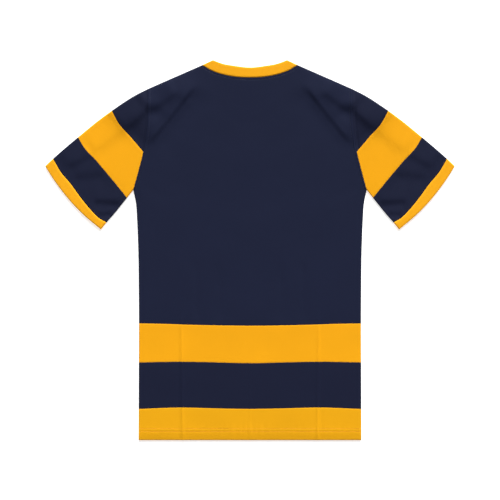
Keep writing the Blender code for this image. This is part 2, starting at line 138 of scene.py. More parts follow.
# Creases of the back layer: start x and y, end x and y, bow to the left of the way along,
# width on its left and on its right, and rise at the middle, below nothing for a trough
BACK_CREASES = (
    # from beside the neck down to the middle of the armhole: a ridge, and a hollow below it
    (0.1060, 0.3394, 0.2120, 0.2071, -0.0015, 0.0700, 0.0072, 0.0024),
    (0.0990, 0.3338, 0.2050, 0.2015, -0.0015, 0.0072, 0.0300, -0.0013),
    (0.0900, 0.3640, 0.2200, 0.1990, -0.0015, 0.0850, 0.0300, 0.0014),
    # fainter ones on either side of it
    (0.1380, 0.3190, 0.2080, 0.2340, -0.0020, 0.0250, 0.0060, 0.0007),
    (0.1130, 0.3100, 0.1960, 0.2010, 0.0015, 0.0250, 0.0070, 0.0007),
    # along the shoulder to the armhole
    (0.1400, 0.3255, 0.2150, 0.2765, -0.0035, 0.0750, 0.0100, 0.0021),
    (0.1345, 0.3171, 0.2095, 0.2681, -0.0035, 0.0105, 0.0220, -0.0016),
    (0.1000, 0.3540, 0.2350, 0.2620, -0.0035, 0.0900, 0.0280, 0.0006),
    # on over the sleeve's head, where the cloth below it lies low, its hoop and lower piece
    (0.1945, 0.3072, 0.2615, 0.2402, -0.0065, 0.0850, 0.0110, 0.0029),
    (0.1860, 0.2990, 0.2530, 0.2320, -0.0065, 0.0115, 0.0400, -0.0020),
    (0.1860, 0.3160, 0.2740, 0.2320, -0.0065, 0.0900, 0.0340, 0.0014),
    (0.2385, 0.2610, 0.3220, 0.1965, -0.0010, 0.0400, 0.0150, 0.0014),
    (0.2320, 0.2510, 0.3120, 0.1880, -0.0010, 0.0090, 0.0200, -0.0003),
    (0.3140, 0.1980, 0.3720, 0.1670, -0.0010, 0.0300, 0.0090, 0.0013),
    (0.3105, 0.1915, 0.3685, 0.1615, -0.0010, 0.0070, 0.0160, -0.0006),
    # from the underarm up on to the lower sleeve
    (0.2820, 0.1460, 0.3600, 0.1390, 0.0010, 0.0100, 0.0160, -0.0009),
    (0.2860, 0.1590, 0.3560, 0.1520, 0.0010, 0.0300, 0.0120, 0.0006),
    (0.2500, 0.0885, 0.3180, 0.0925, 0.0000, 0.0080, 0.0140, -0.0016),
    (0.2540, 0.1000, 0.3160, 0.1040, 0.0000, 0.0200, 0.0090, 0.0009),
    (0.2740, 0.0705, 0.3050, 0.0678, 0.0000, 0.0060, 0.0070, -0.0013),
    # soft ones down the body, and from the armpit across it
    (0.1055, -0.0100, 0.1070, -0.1500, 0.0010, 0.0075, 0.0075, -0.0007),
    (0.0630, -0.0200, 0.0615, -0.1480, -0.0010, 0.0080, 0.0080, -0.0006),
    (0.2180, 0.1350, 0.1500, 0.0950, 0.0030, 0.0100, 0.0100, -0.0003),
)
# Sharp creases of the back layer, left by the folds in which the jersey was put away
PRESSED_CREASES = (
    (0.1372, -0.1100, 0.1342, -0.4300, 0.0000, 0.0030, 0.0030, 0.0015),
    (0.1440, -0.1200, 0.1410, -0.4300, 0.0000, 0.0050, 0.0050, -0.0005),
    (0.0000, -0.2000, 0.0000, -0.4300, 0.0000, 0.0030, 0.0030, 0.0005),
    (0.0095, -0.2200, 0.0090, -0.4300, 0.0000, 0.0045, 0.0045, 0.0004),
)
# The same for the front layer, seen from below. It only lifts off the surface.
FRONT_CREASES = (
    (0.1250, 0.3050, 0.1980, 0.2150, 0.0020, 0.0090, 0.0050, 0.0006),
    (0.1560, 0.3000, 0.2480, 0.2380, -0.0010, 0.0090, 0.0050, 0.0007),
    (0.2400, 0.2420, 0.3400, 0.1680, 0.0020, 0.0090, 0.0060, 0.0008),
    (0.2700, 0.1250, 0.3330, 0.1200, 0.0010, 0.0080, 0.0050, 0.0006),
    (0.2500, 0.1050, 0.3000, 0.0880, 0.0000, 0.0060, 0.0050, 0.0005),
    (0.1340, -0.0900, 0.1370, -0.4300, 0.0000, 0.0040, 0.0040, 0.0005),
    (0.0000, -0.2100, 0.0000, -0.4300, 0.0000, 0.0050, 0.0050, 0.0005),
    (0.0820, 0.0300, 0.0850, -0.1300, 0.0000, 0.0080, 0.0080, 0.0005),
    (0.2150, 0.1200, 0.1500, 0.0500, 0.0040, 0.0090, 0.0090, 0.0005),
)

# Grids: cell sizes, turns of a round edge's columns, and the steps that draw a seam and its
# stitches
BACK_CELL = 0.0030
FRONT_CELL = 0.0045
SLEEVE_CELL = 0.0028
COLLAR_CELLS = (0.0018, 0.0025)
ROLL = np.radians(np.linspace(0.0, 90.0, 12))
STITCHED_STEPS = np.array(
    (0.0076, 0.0066, 0.0058, 0.0053, 0.0049, 0.0044, 0.0038, 0.0026, 0.0016, 0.0009, 0.0004, 0.0)
)
SEAM_STEPS = np.array((0.0, 0.0003, 0.0007, 0.0012, 0.0019))
# Lines of the grid at the hem's rows of stitches, measured from its edge
HEM_ROW_LINES = np.arange(0.0150, 0.0275, 0.0006)
# Widths of a flat sleeve that set its number of cells: across a ring, and across the head
SLEEVE_GIRTH = (0.170, 0.105)
# Columns lie closer at the pressed crease and in the middle: place and reach of each as shares
# of a panel's width, and how much closer
PRESSED_SHARE = 0.6095
PRESSED_REACH = 0.035
MIDDLE_REACH = 0.03
CLOSER = 1.6
# Points that a row of stitches leaves out at the two ends of its dense line
ARMHOLE_ROW_ENDS = slice(8, -6)
NECK_ROW_ENDS = slice(0, -24)
CUFF_ROW_ENDS = slice(16, -10)
HEM_ROW_END = 0.2195

NAVY = "#151B34"
# A darker copy of the navy for the sleeves and the middle hoop: painted shade
NAVY_SHADED = "#141931"
NAVY_THREAD = "#23283F"
GOLD = "#F1A60A"
# A darker copy of the gold for the hem hoop: painted shade, darker towards the hem
GOLD_SHADED = "#EAA60A"
GOLD_THREAD = "#F0A620"
GOLD_RIB = "#F4AA14"
FLOOR = "#F5F5F4"

# Lamps: name, tilt and spread in degrees, and strength. Both are turned about the vertical.
LAMPS = (("key", -66.0, 40.0, 6.35), ("fill", 35.0, 60.0, 0.25))
LAMP_TURN = -10.0
ROOM_STRENGTH = 0.22
TABLE_GLOW = 0.65
FLOOR_REACH = 30.0
FLOOR_HEIGHT = -0.0004
# Camera: lens and sensor in millimetres, and place
LENS = 100.0
SENSOR = 36.0
EYE = (0.0, 0.0003, 2.78)


def smooth(points, at):
    """Points at shares of the length of a line through the given ones: cubic spans whose
    slope at each given point is the mean of those of the chords beside it, and level where
    the line leaves the jersey's middle."""
    points = np.array(points, dtype=float)
    run = np.concatenate(([0.0], np.cumsum(np.hypot(*np.diff(points, axis=0).T))))
    slope = np.gradient(points, run, axis=0)
    if points[0, 0] == 0.0:
        slope[0] = (1.0, 0.0)
    way = np.clip(at, 0.0, 1.0) * run[-1]
    first = np.clip(np.searchsorted(run, way, side="right") - 1, 0, len(points) - 2)
    step = (run[first + 1] - run[first])[:, None]
    t = (way[:, None] - run[first][:, None]) / step
    start, end = points[first], points[first + 1]
    pull = (slope[first] * (1.0 - t) - slope[first + 1] * t) * step
    return start + (end - start) * t * t * (3.0 - 2.0 * t) + pull * t * (1.0 - t)


def dense(points):
    """A smooth line as 401 points."""
    return smooth(points, np.linspace(0.0, 1.0, 401))


def run_of(line):
    """Length run along a line of points, up to each point."""
    return np.concatenate(([0.0], np.cumsum(np.hypot(*np.diff(line, axis=0).T))))


def read(line, at):
    """Points of a dense line at shares 0 to 1 of its length."""
    run = run_of(line)
    return np.stack([np.interp(np.clip(at, 0, 1) * run[-1], run, line[:, k]) for k in (0, 1)], -1)


def moved_left(line, distance):
    """A line moved by a distance to the left of the way along it."""
    way = np.gradient(line, axis=0)
    way /= np.hypot(way[:, 0], way[:, 1])[:, None]
    return line + np.stack((-way[:, 1], way[:, 0]), axis=1) * distance


def height_on(points, x):
    """y of a smooth line at each x, with its last slopes beyond its ends."""
    line = dense(points)
    line = line[np.argsort(line[:, 0])]
    y = np.interp(x, line[:, 0], line[:, 1])
    for end, inner in ((0, 6), (-1, -7)):
        slope = (line[end, 1] - line[inner, 1]) / (line[end, 0] - line[inner, 0])
        beyond = (x - line[end, 0]) * (-1.0 if end == 0 else 1.0) > 0.0
        y = np.where(beyond, line[end, 1] + slope * (x - line[end, 0]), y)
    return y


def bump(distance, width):
    """Bell curve: one at the line, nearly nothing two widths from it."""
    return np.exp(-(distance / width) ** 2)


def peak(distance, width):
    """Sharp edge: one at the line, and a third of it a width from it."""
    return np.exp(-np.abs(distance) / width)


def sunk_at(distance, depth, width):
    """How far a face sinks towards a seam or a row of stitches, by distance from it."""
    return depth * bump(distance, width)


def creases(table, x, y, section=bump):
    """Sum of the creases: each has its section across its bowed line, of its own width on
    either side, full along its middle and faded out and wider over its ends, and a little
    uneven along its length."""
    faded = 0.22
    across = np.abs(x)
    rise = np.zeros_like(across)
    for x0, y0, x1, y1, bow, left, right, lift in table:
        length = math.hypot(x1 - x0, y1 - y0)
        way_x, way_y = (x1 - x0) / length, (y1 - y0) / length
        along = ((across - x0) * way_x + (y - y0) * way_y) / length
        aside = (y - y0) * way_x - (across - x0) * way_y - bow * 4.0 * along * (1.0 - along)
        ends = np.clip(along / faded, 0.0, 1.0) * np.clip((1.0 - along) / faded, 0.0, 1.0)
        fade = ends * ends * (3.0 - 2.0 * ends)
        uneven = 0.88 + 0.12 * np.cos(9.0 * along + 40.0 * x0)
        width = np.where(aside > 0.0, left, right) * (1.35 - 0.35 * fade)
        rise = rise + lift * fade * uneven * section(aside, width)
    return rise


def slack(x, y, seed, height, shortest, longest):
    """Unevenness of laid cloth: a sum of low waves of many lengths and directions."""
    chance = np.random.default_rng(seed)
    rise = np.zeros_like(x)
    waves = 14
    for _ in range(waves):
        length = chance.uniform(shortest, longest)
        angle = chance.uniform(0.0, math.pi)
        phase = chance.uniform(0.0, 2.0 * math.pi)
        way = x * math.cos(angle) + y * math.sin(angle)
        rise = rise + np.sin(2.0 * math.pi * way / length + phase) * length / longest
    return rise * height / math.sqrt(waves)


def below(value, limit, softness):
    """Soft step: one below the limit, nothing above it, and half at it."""
    return 1.0 / (1.0 + np.exp(np.clip((value - limit) / softness, -30.0, 30.0)))


def hem_grooves(up):
    """Depth of the grooves at the hem's rows of stitches, by height above the hem's edge."""
    return sum(sunk_at(up - row, HEM_GROOVE, HEM_GROOVE_WIDTH) for row in HEM_ROWS)


def hem_relief(x, y):
    """The turned hem: a low step up, a fall to its edge, a groove at each row of stitches, and
    puckers that run up from the rows and are strongest in the middle of the jersey: two uneven
    waves along the hem, faded out above and below the rows."""
    up = y - HEM_Y
    fall = HEM_FALL * np.clip(1.0 - up / HEM_DEPTH, 0.0, 1.0) ** 2
    step = HEM_STEP * below(up, HEM_DEPTH, 0.0006)
    fine, drift, coarse = 0.0017, 0.011, 0.0031
    wave = np.sin(x / fine + 2.0 * np.sin(x / drift)) + 0.6 * np.sin(x / coarse + 1.0)
    least, more_in_middle, middle_reach, rows_reach = 0.00008, 0.00022, 0.050, 0.012
    strength = least + more_in_middle * bump(x, middle_reach)
    puckers = wave * strength * bump(up - sum(HEM_ROWS) / 2.0, rows_reach)
    return step - fall - hem_grooves(up) + puckers


def back_height(x, y, laid=LAID):
    """Outer face of the back layer: laid height, low loft of the body, creases, slack, the
    hem, and a faint half moon below the collar."""
    body = np.clip(1.0 - (np.abs(x) / SHOULDER[0]) ** 2, 0.0, 1.0)
    body = body * np.clip((y - HEM_Y) / LOFT_LENGTH, 0.0, 1.0)
    rise = laid + LOFT * body + creases(BACK_CREASES, x, y)
    rise = rise + creases(PRESSED_CREASES, x, y, peak)
    uneven = slack(x, y, seed=4, height=0.00022, shortest=0.045, longest=0.16)
    rise = rise + uneven * np.clip((y - HEM_Y) / 0.03, 0.3, 1.0)
    moon_width, moon_drop, moon_rise = 0.068, 0.083, 0.00018
    moon = np.hypot(x / moon_width, (y - BACK_NECK[0][1]) / moon_drop)
    return rise + moon_rise * below(moon, 1.0, 0.022) + hem_relief(x, y)


def front_height(x, y):
    """Outer face of the front layer, which lies on the surface and lifts off it in creases.
    Its hem is pressed on the surface, with a groove at each row."""
    lift = creases(FRONT_CREASES, x, y)
    uneven = slack(x, y, seed=9, height=0.00010, shortest=0.05, longest=0.16)
    return np.clip(lift + uneven, 0.0, None) + hem_grooves(y - HEM_Y)


def steps_between(start, end, cell, last=SEAM_STEPS):
    """Values from start to end: fine steps at each end, and even cells between them."""
    low, high = start + SEAM_STEPS, end - last[::-1]
    count = max(2, round((high[0] - low[-1]) / cell))
    return np.concatenate((low[:-1], np.linspace(low[-1], high[0], count + 1), high[1:]))


def patch(bottom, top, left, right, u, v):
    """Points inside four lines that share their corners: the mean of the bottom and top lines
    by v and of the left and right lines by u, less the corners, which both hold."""
    corners = (
        bottom[0] * (1 - u) * (1 - v) + bottom[-1] * u * (1 - v)
        + top[0] * (1 - u) * v + top[-1] * u * v
    )
    return bottom * (1 - v) + top * v + left * (1 - u) + right * u - corners


def srgb(colour):
    """sRGB hex as linear red, green, blue and alpha."""
    channels = [int(colour[k:k + 2], 16) / 255.0 for k in (1, 3, 5)]
    linear = [c / 12.92 if c <= 0.04045 else ((c + 0.055) / 1.055) ** 2.4 for c in channels]
    return (*linear, 1.0)


def node(tree, kind, settings=None, links=None):
    """Adds a node of a kind, with its settings, and its inputs set to values or linked."""
    made = tree.nodes.new(kind)
    for name, value in (settings or {}).items():
        setattr(made, name, value)
    for socket, value in (links or {}).items():
        if isinstance(value, bpy.types.NodeSocket):
            tree.links.new(value, made.inputs[socket])
        else:
            made.inputs[socket].default_value = value
    return made


def sums(tree, operation, first, second=0.0, third=0.0):
    """Output of a Math node. A multiply-add gives its first times its second, plus its third."""
    values = {0: first, 1: second, 2: third}
    return node(tree, "ShaderNodeMath", {"operation": operation}, values).outputs[0]


def cloth_base(name, colour, roughness, sheen):
    """Material with a shader for cloth, and its own UV map in metres as two sockets."""
    material = bpy.data.materials.new(name)
    material.use_nodes = True
    tree = material.node_tree
    shader = tree.nodes["Principled BSDF"]
    shader.inputs["Roughness"].default_value = roughness
    shader.inputs["Specular IOR Level"].default_value = 0.15
    shader.inputs["Sheen Weight"].default_value = sheen
    shader.inputs["Sheen Roughness"].default_value = 0.45
    shader.inputs["Sheen Tint"].default_value = srgb(colour)
    place = node(tree, "ShaderNodeUVMap", {"uv_map": "cloth"})
    parts = node(tree, "ShaderNodeSeparateXYZ", links={0: place.outputs[0]})
    return material, tree, shader, parts.outputs[0], parts.outputs[1]


def shaded_by(tree, shader, colour, relief, depth, strength):
    """Colours the shader: the dye, uneven from place to place as a dye lot makes it, and painted
    shade that makes it a little darker low in the relief. The relief is its bump."""
    where = node(tree, "ShaderNodeTexCoord").outputs["Object"]
    patches = node(
        tree, "ShaderNodeTexNoise", links={"Vector": where, "Scale": 9.0, "Detail": 3.0}
    ).outputs[0]
    value = sums(tree, "MULTIPLY_ADD", patches, 0.10, 0.95)
    # painted shade: the colour darkens low in the knit's relief, where its loops shade each other
    low = sums(tree, "MULTIPLY_ADD", relief, 0.10, 0.93)
    dye_with_painted_light = node(
        tree, "ShaderNodeHueSaturation",
        links={"Color": srgb(colour), "Value": sums(tree, "MULTIPLY", value, low)},
    )
    tree.links.new(dye_with_painted_light.outputs[0], shader.inputs["Base Color"])
    raised = node(
        tree, "ShaderNodeBump", links={"Height": relief, "Distance": depth, "Strength": strength}
    )
    tree.links.new(raised.outputs[0], shader.inputs["Normal"])


def interlock_knit(name, colour):
    """Polyester interlock, knitted on fine needles and dyed: smooth columns of small V shaped
    loops, matt with a soft sheen. Real columns are 0.8 mm apart, drawn at 1.2 mm to show."""
    material, tree, shader, u, v = cloth_base(name, colour, roughness=0.75, sheen=0.05)
    column, course = 0.0012, 0.0010
    across = sums(tree, "FRACT", sums(tree, "DIVIDE", u, column))
    from_middle = sums(tree, "ABSOLUTE", sums(tree, "SUBTRACT", across, 0.5))
    leg = sums(tree, "ADD", sums(tree, "DIVIDE", v, course), from_middle)
    loops = sums(tree, "SINE", sums(tree, "MULTIPLY", leg, 2.0 * math.pi))
    ridge = sums(tree, "COSINE", sums(tree, "MULTIPLY", from_middle, math.pi))
    shape = sums(tree, "MULTIPLY_ADD", loops, 0.25, 0.75)
    relief = sums(tree, "MULTIPLY", ridge, shape)
    shaded_by(tree, shader, colour, relief, depth=0.00018, strength=0.5)
    return material


def rib_knit(name, colour):
    """Rib, knitted in raised columns that run across the band: a soft cord-like face. Real
    columns are 1.5 mm apart, drawn at 1.8 mm to show."""
    material, tree, shader, u, v = cloth_base(name, colour, roughness=0.80, sheen=0.06)
    column, course = 0.0018, 0.0010
    wave = sums(tree, "COSINE", sums(tree, "MULTIPLY", u, 2.0 * math.pi / column))
    ridge = sums(tree, "MULTIPLY_ADD", wave, 0.4, 0.5)
    loops = sums(tree, "SINE", sums(tree, "MULTIPLY", v, 2.0 * math.pi / course))
    shape = sums(tree, "MULTIPLY_ADD", loops, 0.1, 0.9)
    relief = sums(tree, "MULTIPLY", ridge, shape)
    shaded_by(tree, shader, colour, relief, depth=0.00030, strength=0.6)
    return material


def thread(name, colour):
    """Spun polyester thread, twisted: a thin line with painted slanted light along it."""
    material = bpy.data.materials.new(name)
    material.use_nodes = True
    tree = material.node_tree
    shader = tree.nodes["Principled BSDF"]
    shader.inputs["Roughness"].default_value = 0.55
    shader.inputs["Specular IOR Level"].default_value = 0.35
    where = node(tree, "ShaderNodeTexCoord").outputs["Object"]
    painted_twist_light = node(
        tree, "ShaderNodeTexWave", {"bands_direction": "DIAGONAL"},
        {"Vector": where, "Scale": 700.0, "Distortion": 1.0},
    ).outputs[1]
    # painted light: the thread's colour is lighter and darker in slanted bands along its twist
    value = sums(tree, "MULTIPLY_ADD", painted_twist_light, 0.25, 0.85)
    dye_with_painted_light = node(tree, "ShaderNodeHueSaturation", links={"Color": srgb(colour), "Value": value})
    tree.links.new(dye_with_painted_light.outputs[0], shader.inputs["Base Color"])
    return material


def light_table(name, colour):
    """Opal acrylic, lit from below: an even white ground that takes only faint shadows."""
    material = bpy.data.materials.new(name)
    material.use_nodes = True
    tree = material.node_tree
    shader = tree.nodes["Principled BSDF"]
    shader.inputs["Base Color"].default_value = srgb(colour)
    shader.inputs["Roughness"].default_value = 0.8
    shader.inputs["Specular IOR Level"].default_value = 0.1
    shader.inputs["Emission Color"].default_value = srgb(colour)
    shader.inputs["Emission Strength"].default_value = TABLE_GLOW
    where = node(tree, "ShaderNodeTexCoord").outputs["Object"]
    grain = node(tree, "ShaderNodeTexNoise", links={"Vector": where, "Scale": 600.0})
    raised = node(
        tree, "ShaderNodeBump",
        links={"Height": grain.outputs[0], "Distance": 0.0001, "Strength": 0.2},
    )
    tree.links.new(raised.outputs[0], shader.inputs["Normal"])
    return material


def mesh_of(name, corners, quads, uv=None):
    """Mesh from arrays of corners and of quads, with a UV pair for each corner of a quad."""
    mesh = bpy.data.meshes.new(name)
    mesh.vertices.add(len(corners))
    mesh.vertices.foreach_set("co", np.ascontiguousarray(corners, dtype=np.float32).ravel())
    mesh.loops.add(quads.size)
    mesh.loops.foreach_set("vertex_index", np.ascontiguousarray(quads, dtype=np.int32).ravel())
    mesh.polygons.add(len(quads))
    starts = np.arange(0, quads.size, quads.shape[1], dtype=np.int32)
    mesh.polygons.foreach_set("loop_start", starts)
    mesh.update(calc_edges=True)
    if uv is not None:
        layer = mesh.uv_layers.new(name="cloth")
        layer.data.foreach_set("uv", np.ascontiguousarray(uv, dtype=np.float32).ravel())
    mesh.shade_smooth()
    return mesh


def cloth(name, points, pattern, wall, look, closed=False, up=True):
    """A piece of cloth from the grid of its outer face: the grid as quads, its pattern map in
    metres, and its wall added inwards. Closed, its last column is its first."""
    columns, rows = points.shape[:2]
    index = np.arange(columns * rows).reshape(columns, rows)
    corners = [index[:-1, :-1], index[1:, :-1], index[1:, 1:], index[:-1, 1:]]
    order = np.stack(corners if up else corners[::-1], axis=-1).reshape(-1, 4)
    uv = pattern.reshape(-1, 2)[order]
    kept = points[:-1] if closed else points
    mesh = mesh_of(name, kept.reshape(-1, 3), order % (len(kept) * rows), uv)
    piece = bpy.data.objects.new(name, mesh)
    bpy.context.scene.collection.objects.link(piece)
    mesh.materials.append(look)
    solidify = piece.modifiers.new("wall", "SOLIDIFY")
    solidify.thickness = wall
    solidify.offset = -1.0
    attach(piece, "root")
    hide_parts(name.removesuffix("_cloth"))
    return piece


def spread(start, end, cell):
    """Shares of a panel's width, about a cell apart, and closer where it was folded away."""
    fine = np.linspace(start, end, 401)
    density = 1.0 + CLOSER * (bump(fine - PRESSED_SHARE, PRESSED_REACH) + bump(fine, MIDDLE_REACH))
    run = np.concatenate(([0.0], np.cumsum((density[1:] + density[:-1]) / 2.0)))
    run *= fine[1] - fine[0]
    count = round(run[-1] * SHOULDER[0] / cell)
    return np.interp(np.linspace(0.0, run[-1], count + 1), run, fine)


def body_shares(cell):
    """Shares across the right half of a body panel, from the middle to its edge."""
    neck_share = NECK[0] / SHOULDER[0]
    inner = spread(0.0, neck_share, cell)
    outer = spread(neck_share, 1.0 - (STITCHED_STEPS[0] + cell) / SHOULDER[0], cell)[1:]
    return np.concatenate((inner, outer, np.ones(len(ROLL)))), len(inner) - 1


def hoop_line(points, u):
    """A line across the body at the shares of its width."""
    x = u * points[-1][0]
    return np.stack((x, height_on(points, x)), axis=-1)


def body_panel(name, bottom, top, neck, back, look):
    """A body panel: a patch between its lines and its sides, mirrored to its left half. Its
    sides and shoulders roll round to the panel above or below. It sinks at its seams, and
    where it is stitched to the sleeves and the collar at the rows beside them too."""
    hem = bottom is HEM_LINE
    cell = BACK_CELL if back else FRONT_CELL
    u, neck_cells = body_shares(cell)
    rolled = len(ROLL)
    inset = (1.0 - np.sin(ROLL)) * LAID / 2.0
    up = np.cos(ROLL)
    half_gap = SEAM_GAP / 2.0
    low_y = bottom[-1][1] + (0.0 if hem else half_gap)
    high_y = SHOULDER[1] if neck else top[-1][1] - half_gap
    if hem:
        fine = HEM_Y + HEM_ROW_LINES
        lower = steps_between(low_y, fine[0], cell, last=SEAM_STEPS[:1])
        upper = steps_between(fine[-1], high_y, cell)[len(SEAM_STEPS) + 1:]
        rows = np.concatenate((lower[:-1], fine, upper))
    elif neck:
        below = steps_between(low_y, ARMPIT[1], cell, last=SEAM_STEPS[:2])
        above = np.arange(ARMPIT[1] + cell, high_y - STITCHED_STEPS[0] - cell, cell)
        rows = np.concatenate((below, above, [high_y]))
    else:
        rows = steps_between(low_y, high_y, cell)
    v = (rows - rows[0]) / (rows[-1] - rows[0])
    if neck:
        v = np.concatenate((v[:-1], np.ones(rolled)))
    bottom_line = hoop_line(bottom, u) + (0.0, 0.0 if hem else half_gap)
    drop = np.zeros((len(u), len(v)))
    row_up = np.ones((len(u), len(v)))
    if neck:
        neck_line = read(moved_left(dense(neck), -half_gap), np.linspace(0, 1, neck_cells + 1))
        neck_line[0, 0] = 0.0
        beyond = (u[neck_cells + 1:] - u[neck_cells]) / (1.0 - u[neck_cells])
        along_shoulder = np.array(SHOULDER) - np.array(NECK)
        top_line = np.concatenate((neck_line, NECK + beyond[:, None] * along_shoulder))
        slant = np.hypot(*along_shoulder) / along_shoulder[0]
        on_shoulder = (np.arange(len(u)) >= neck_cells)[:, None]
        drop[:, -rolled:] = np.where(on_shoulder, inset * slant, STITCHED_STEPS)
        row_up[:, -rolled:] = np.where(on_shoulder, up, 1.0)
    else:
        top_line = hoop_line(top, u) - (0.0, half_gap)

    side_at = rows[0] + v * (rows[-1] - rows[0])
    on_side = side_at <= ARMPIT[1] + 1e-6
    full_side = np.concatenate((dense(SIDE_SEAM), dense(ARMHOLE)[1:]))
    side_x = np.interp(side_at, full_side[:, 1], full_side[:, 0])
    side_x = np.where(on_side, side_x, side_x - half_gap)
    side_line = np.stack((side_x, side_at), axis=-1)
    middle_y = bottom_line[0, 1] + v * (top_line[0, 1] - bottom_line[0, 1])
    middle_line = np.stack((np.zeros(len(v)), middle_y), axis=-1)
    bottom_line[:, 0] *= side_x[0] / bottom_line[-1, 0]
    top_line[:, 0] *= side_x[-1] / top_line[-1, 0]
    side_line[0], side_line[-1] = bottom_line[-1], top_line[-1]
    flat = patch(
        bottom_line[:, None], top_line[:, None], middle_line[None, :], side_line[None, :],
        u[:, None, None], v[None, :, None],
    )
    side_inset = np.zeros(len(u))
    flat_inset = np.zeros(len(u))
    side_up = np.ones(len(u))
    side_inset[-rolled:], flat_inset[-rolled:], side_up[-rolled:] = inset, STITCHED_STEPS, up
    x = flat[..., 0] - np.where(on_side[None, :], side_inset[:, None], flat_inset[:, None])
    y = flat[..., 1] - drop
    if neck:
        near_top = np.clip((v - 0.95) / 0.05, 0.0, 1.0) * flat_inset[:, None]
        y = y - near_top * along_shoulder[1] / along_shoulder[0]
    share_up = np.where(on_side[None, :], side_up[:, None], 1.0) * row_up

    from_bottom = y - y[:, :1]
    from_top = y[:, -1:] - y
    from_armhole = np.where(on_side[None, :], 1.0, x[-1:, :] - x)
    ridge_at, ridge_rise, ridge_width = ALLOWANCE_RIDGE
    sink = sunk_at(from_armhole, *ARMHOLE_SINK)
    sink = sink + sunk_at(from_armhole - ARMHOLE_ROW, ARMHOLE_GROOVE, ARMHOLE_GROOVE_WIDTH)
    sink = sink - sunk_at(from_armhole - ridge_at, ridge_rise, ridge_width)
    if not hem:
        sink = sink + sunk_at(from_bottom, *PANEL_SINK)
    if neck:
        at_neck = (np.arange(len(u)) < neck_cells)[:, None]
        sink = sink + at_neck * sunk_at(from_top, *NECK_SINK)
        sink = sink + at_neck * sunk_at(from_top - NECK_ROW, NECK_GROOVE, ROW_GROOVE_WIDTH)
    else:
        sink = sink + sunk_at(from_top, *PANEL_SINK)
    middle = LAID / 2.0
    if back:
        edge = sunk_at(from_bottom, *HEM_EDGE_SINK) if hem else 0.0
        z = middle + (back_height(x, y) - sink - edge - middle) * share_up
    else:
        z = middle + (front_height(x, y) + sink * FRONT_SHARE - middle) * share_up
    half = np.stack((x, y, z), axis=-1)
    points = np.concatenate((half[::-1] * (-1.0, 1.0, 1.0), half[1:]))
    cloth(
        name + "_cloth", points, points[..., :2], KNIT, look, up=back,
    )


def bodies(looks):
    """Back and front panels with their hoops. The back lies on the front."""
    for face in ("front", "back"):
        back = face == "back"
        for part, low, high, neck, look, slot in (
            ("_body", UPPER_LINE, None, BACK_NECK if back else FRONT_NECK, "navy", "navy_knit"),
            ("_hoop_upper", MIDDLE_LINE, UPPER_LINE, None, "gold", "gold_knit"),
            ("_hoop_middle", LOWER_LINE, MIDDLE_LINE, None, "shaded lower navy", "navy_knit"),
            ("_hoop_hem", HEM_LINE, LOWER_LINE, None, "shaded lower gold", "gold_knit"),
        ):
            name = face + part
            body_panel(
                name, low, high, neck, back, looks[look],
            )


def joined(first, second):
    """Two dense lines that share an end, as one."""
    return np.concatenate((first, second[1:]))


def between(line, start, end):
    """The stretch of a dense line between two of its points."""
    from_start = np.hypot(*(line - start).T).argmin()
    from_end = np.hypot(*(line - end).T).argmin()
    return line[from_start:from_end + 1]


def distance_to(edge, line):
    """How far each point of a line lies from an edge: how far above or below it, over the
    length of the edge's slope for each step across."""
    slope = np.gradient(height_on(edge, line[:, 0]), line[:, 0])
    return np.abs(height_on(edge, line[:, 0]) - line[:, 1]) / np.hypot(1.0, slope)


def across_sleeve(line, w, radius, tip):
    """Shares of the way across a sleeve at which its columns lie: the round edge at the fold,
    even cells, and the round edge at the underarm. A tip has no underarm edge."""
    roll = (1.0 - np.sin(ROLL)) * radius
    near_fold = np.interp(roll[::-1], np.maximum.accumulate(distance_to(SLEEVE_FOLD, line)), w)
    cells = round(SLEEVE_GIRTH[tip] / SLEEVE_CELL)
    if tip:
        return np.concatenate((near_fold[:-1], np.linspace(near_fold[-1], 0.992, cells + 1)))
    from_low = np.maximum.accumulate(distance_to(UNDERARM_FOLD, line)[::-1])
    near_low = np.interp(roll, from_low, w[::-1])
    even = np.linspace(near_fold[-1], near_low[0], cells + 1)
    return np.concatenate((near_fold[:-1], even, near_low[1:]))


